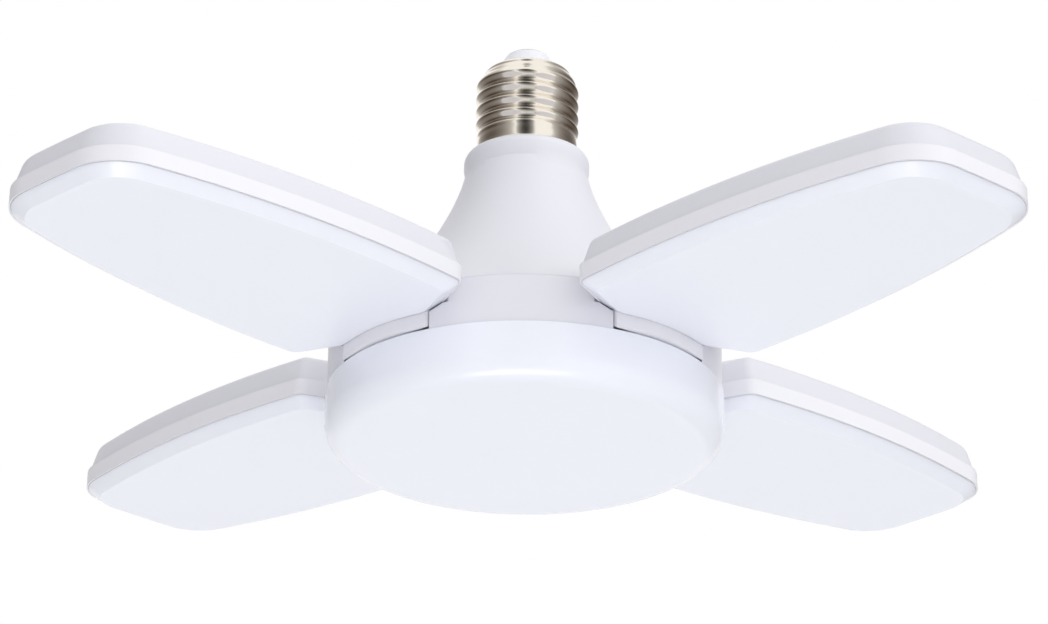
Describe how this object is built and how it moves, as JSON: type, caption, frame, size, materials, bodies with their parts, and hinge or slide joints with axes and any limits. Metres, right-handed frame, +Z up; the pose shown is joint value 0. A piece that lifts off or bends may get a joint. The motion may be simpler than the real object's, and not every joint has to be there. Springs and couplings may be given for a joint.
{
  "type": "foldable screw-in ceiling light",
  "caption": "White screw-in ceiling light: a bell housing over a round opal centre light, with rounded blade lights around it that fold down on hinge pins.",
  "frame": {"origin": "middle of the top face of the screw cap's centre contact, where the light meets its lampholder", "axes": "+Z up along the screw cap, -Y towards the front of the picture; the light hangs below the origin"},
  "size_m": [0.2392, 0.2392, 0.1102],
  "materials": {
    "contact_metal": "tinned, satin",
    "cap_insulator": "glazed white",
    "cap_metal": "nickel plated, polished",
    "housing_white": "fine satin",
    "rim_white": "gloss",
    "opal_diffuser": "opal, satin",
    "screw_steel": "zinc plated",
    "pin_steel": "ground",
    "circuit_board": "solder mask",
    "light_board": "white solder mask",
    "led_yellow": "phosphor gel",
    "capacitor_sleeve": "shrink sleeve",
    "dark_moulding": "moulded",
    "resistor_body": "coated",
    "film_yellow": "potted case",
    "socket_white": "moulded",
    "lead_red": "insulated",
    "lead_white": "insulated"
  },
  "bodies": {
    "housing": {"centre_contact": "contact_metal", "cap_insulator": "cap_insulator", "screw_shell": "cap_metal", "bell_housing": "housing_white", "hub_housing": "housing_white", "hub_screws": "screw_steel", "driver_board": "circuit_board", "driver_capacitor": "capacitor_sleeve", "driver_transformer": "dark_moulding", "driver_inductor": "dark_moulding", "driver_fuse_resistor": "resistor_body", "driver_film_capacitor": "film_yellow", "driver_chips": "dark_moulding", "blade_lead_socket": "socket_white", "live_lead": "lead_red", "neutral_lead": "lead_white", "disc_leads": "lead_red", "disc_light_board": "light_board", "disc_leds": "led_yellow", "disc_board_screws": "screw_steel", "disc_diffuser": "opal_diffuser", "front_left_hinge_pin": "pin_steel", "front_right_hinge_pin": "pin_steel", "rear_left_hinge_pin": "pin_steel", "rear_right_hinge_pin": "pin_steel"},
    "front_left_blade": {"front_left_back_cover": "housing_white", "front_left_rim_frame": "rim_white", "front_left_diffuser": "opal_diffuser", "front_left_light_board": "light_board", "front_left_leds": "led_yellow", "front_left_screws": "screw_steel"},
    "front_right_blade": {"front_right_back_cover": "housing_white", "front_right_rim_frame": "rim_white", "front_right_diffuser": "opal_diffuser", "front_right_light_board": "light_board", "front_right_leds": "led_yellow", "front_right_screws": "screw_steel"},
    "rear_left_blade": {"rear_left_back_cover": "housing_white", "rear_left_rim_frame": "rim_white", "rear_left_diffuser": "opal_diffuser", "rear_left_light_board": "light_board", "rear_left_leds": "led_yellow", "rear_left_screws": "screw_steel"},
    "rear_right_blade": {"rear_right_back_cover": "housing_white", "rear_right_rim_frame": "rim_white", "rear_right_diffuser": "opal_diffuser", "rear_right_light_board": "light_board", "rear_right_leds": "led_yellow", "rear_right_screws": "screw_steel"}
  },
  "joints": [
    {"name": "front_left_fold", "type": "hinge", "parent": "housing", "child": "front_left_blade", "pos_m": [-0.03412, -0.03412, -0.09255], "axis": [0.7071, -0.7071, 0], "range_deg": [0, 90]},
    {"name": "front_right_fold", "type": "hinge", "parent": "housing", "child": "front_right_blade", "pos_m": [0.03412, -0.03412, -0.09255], "axis": [0.7071, 0.7071, 0], "range_deg": [0, 90]},
    {"name": "rear_left_fold", "type": "hinge", "parent": "housing", "child": "rear_left_blade", "pos_m": [-0.03412, 0.03412, -0.09255], "axis": [-0.7071, -0.7071, 0], "range_deg": [0, 90]},
    {"name": "rear_right_fold", "type": "hinge", "parent": "housing", "child": "rear_right_blade", "pos_m": [0.03412, 0.03412, -0.09255], "axis": [-0.7071, 0.7071, 0], "range_deg": [0, 90]}
  ]
}
